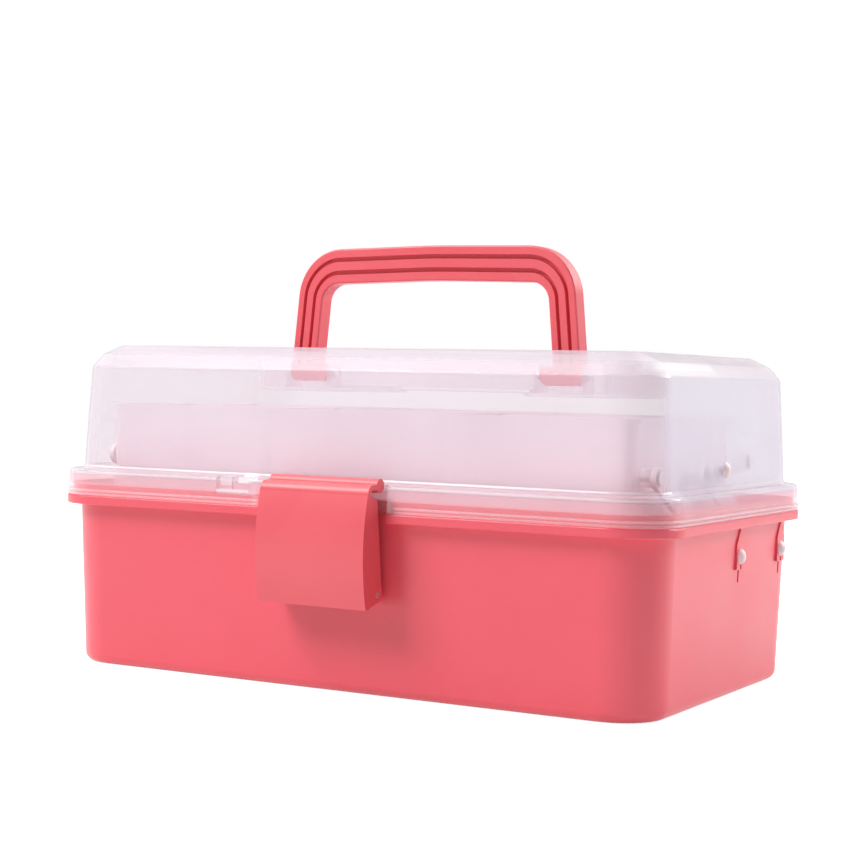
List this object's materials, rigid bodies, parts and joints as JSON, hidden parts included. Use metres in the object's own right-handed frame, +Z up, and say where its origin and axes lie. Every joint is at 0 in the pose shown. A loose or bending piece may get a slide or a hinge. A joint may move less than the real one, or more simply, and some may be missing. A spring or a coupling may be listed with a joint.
{
  "type": "storage box",
  "caption": "Carry box with a coral tub, a hinged clear lid, a folding handle, a front latch and trays that rise like stairs as the lid opens",
  "frame": {"origin": "middle of the flat underside of the tub, on the surface that it stands on", "axes": "+X along the box to the right seen from the latch, +Y from the latch to the hinge, +Z up"},
  "size_m": [0.33, 0.2205, 0.2119],
  "materials": {
    "tub_plastic": "moulded coral, satin gloss",
    "handle_plastic": "moulded coral, satin gloss",
    "clear_plastic": "clear frosted polypropylene",
    "tray_plastic": "translucent frosted polypropylene",
    "white_plastic": "natural translucent white",
    "steel": "drawn wire"
  },
  "bodies": {
    "base": {"tub": "tub_plastic", "tub_pivot_pins": "white_plastic", "hinge_pins": "steel", "latch_pin": "steel"},
    "lid": {"lid": "clear_plastic", "lid_pivot_pins": "white_plastic", "handle_pins": "steel"},
    "handle": {"handle": "handle_plastic"},
    "latch": {"latch": "handle_plastic"},
    "front_arms": {"front_arm_left": "white_plastic", "front_arm_right": "white_plastic"},
    "rear_arms": {"rear_arm_left": "white_plastic", "rear_arm_right": "white_plastic"},
    "lower_tray": {"lower_tray": "tray_plastic", "lower_tray_pivot_pins": "white_plastic"},
    "upper_tray": {"upper_tray": "tray_plastic", "upper_tray_pivot_pins": "white_plastic", "link_pivot_pins": "white_plastic"},
    "lid_links": {"lid_link_left": "white_plastic", "lid_link_right": "white_plastic"}
  },
  "joints": [
    {"name": "lid_hinge", "type": "hinge", "parent": "base", "child": "lid", "pos_m": [0, 0.104, 0.0841], "axis": [-1, 0, 0], "range_deg": [0, 100]},
    {"name": "handle_fold", "type": "hinge", "parent": "lid", "child": "handle", "pos_m": [0, 0, 0.148], "axis": [-1, 0, 0], "range_deg": [0, 90]},
    {"name": "latch_swing", "type": "hinge", "parent": "base", "child": "latch", "pos_m": [0, -0.0996, 0.0474], "axis": [1, 0, 0], "range_deg": [0, 75]},
    {"name": "front_arm_swing", "type": "hinge", "parent": "base", "child": "front_arms", "pos_m": [0, 0.0103, 0.0655], "axis": [-1, 0, 0], "range_deg": [0, 66]},
    {"name": "rear_arm_swing", "type": "hinge", "parent": "base", "child": "rear_arms", "pos_m": [0, 0.0674, 0.0655], "axis": [-1, 0, 0], "range_deg": [0, 66]},
    {"name": "lower_tray_pivot", "type": "hinge", "parent": "front_arms", "child": "lower_tray", "pos_m": [0, -0.02743, 0.08473], "axis": [1, 0, 0], "range_deg": [0, 66]},
    {"name": "upper_tray_pivot", "type": "hinge", "parent": "front_arms", "child": "upper_tray", "pos_m": [0, -0.06517, 0.10395], "axis": [1, 0, 0], "range_deg": [0, 66]},
    {"name": "lid_link_pivot", "type": "hinge", "parent": "upper_tray", "child": "lid_links", "pos_m": [0, 0.0369, 0.1094], "axis": [-1, 0, 0], "range_deg": [0, 133.4]}
  ],
  "couplings": [
    {"joint": "front_arm_swing", "follows": "lid_hinge", "ratio": 0.66},
    {"joint": "rear_arm_swing", "follows": "lid_hinge", "ratio": 0.66},
    {"joint": "lower_tray_pivot", "follows": "lid_hinge", "ratio": 0.66},
    {"joint": "upper_tray_pivot", "follows": "lid_hinge", "ratio": 0.66},
    {"joint": "lid_link_pivot", "follows": "lid_hinge", "ratio": 1.3333}
  ]
}
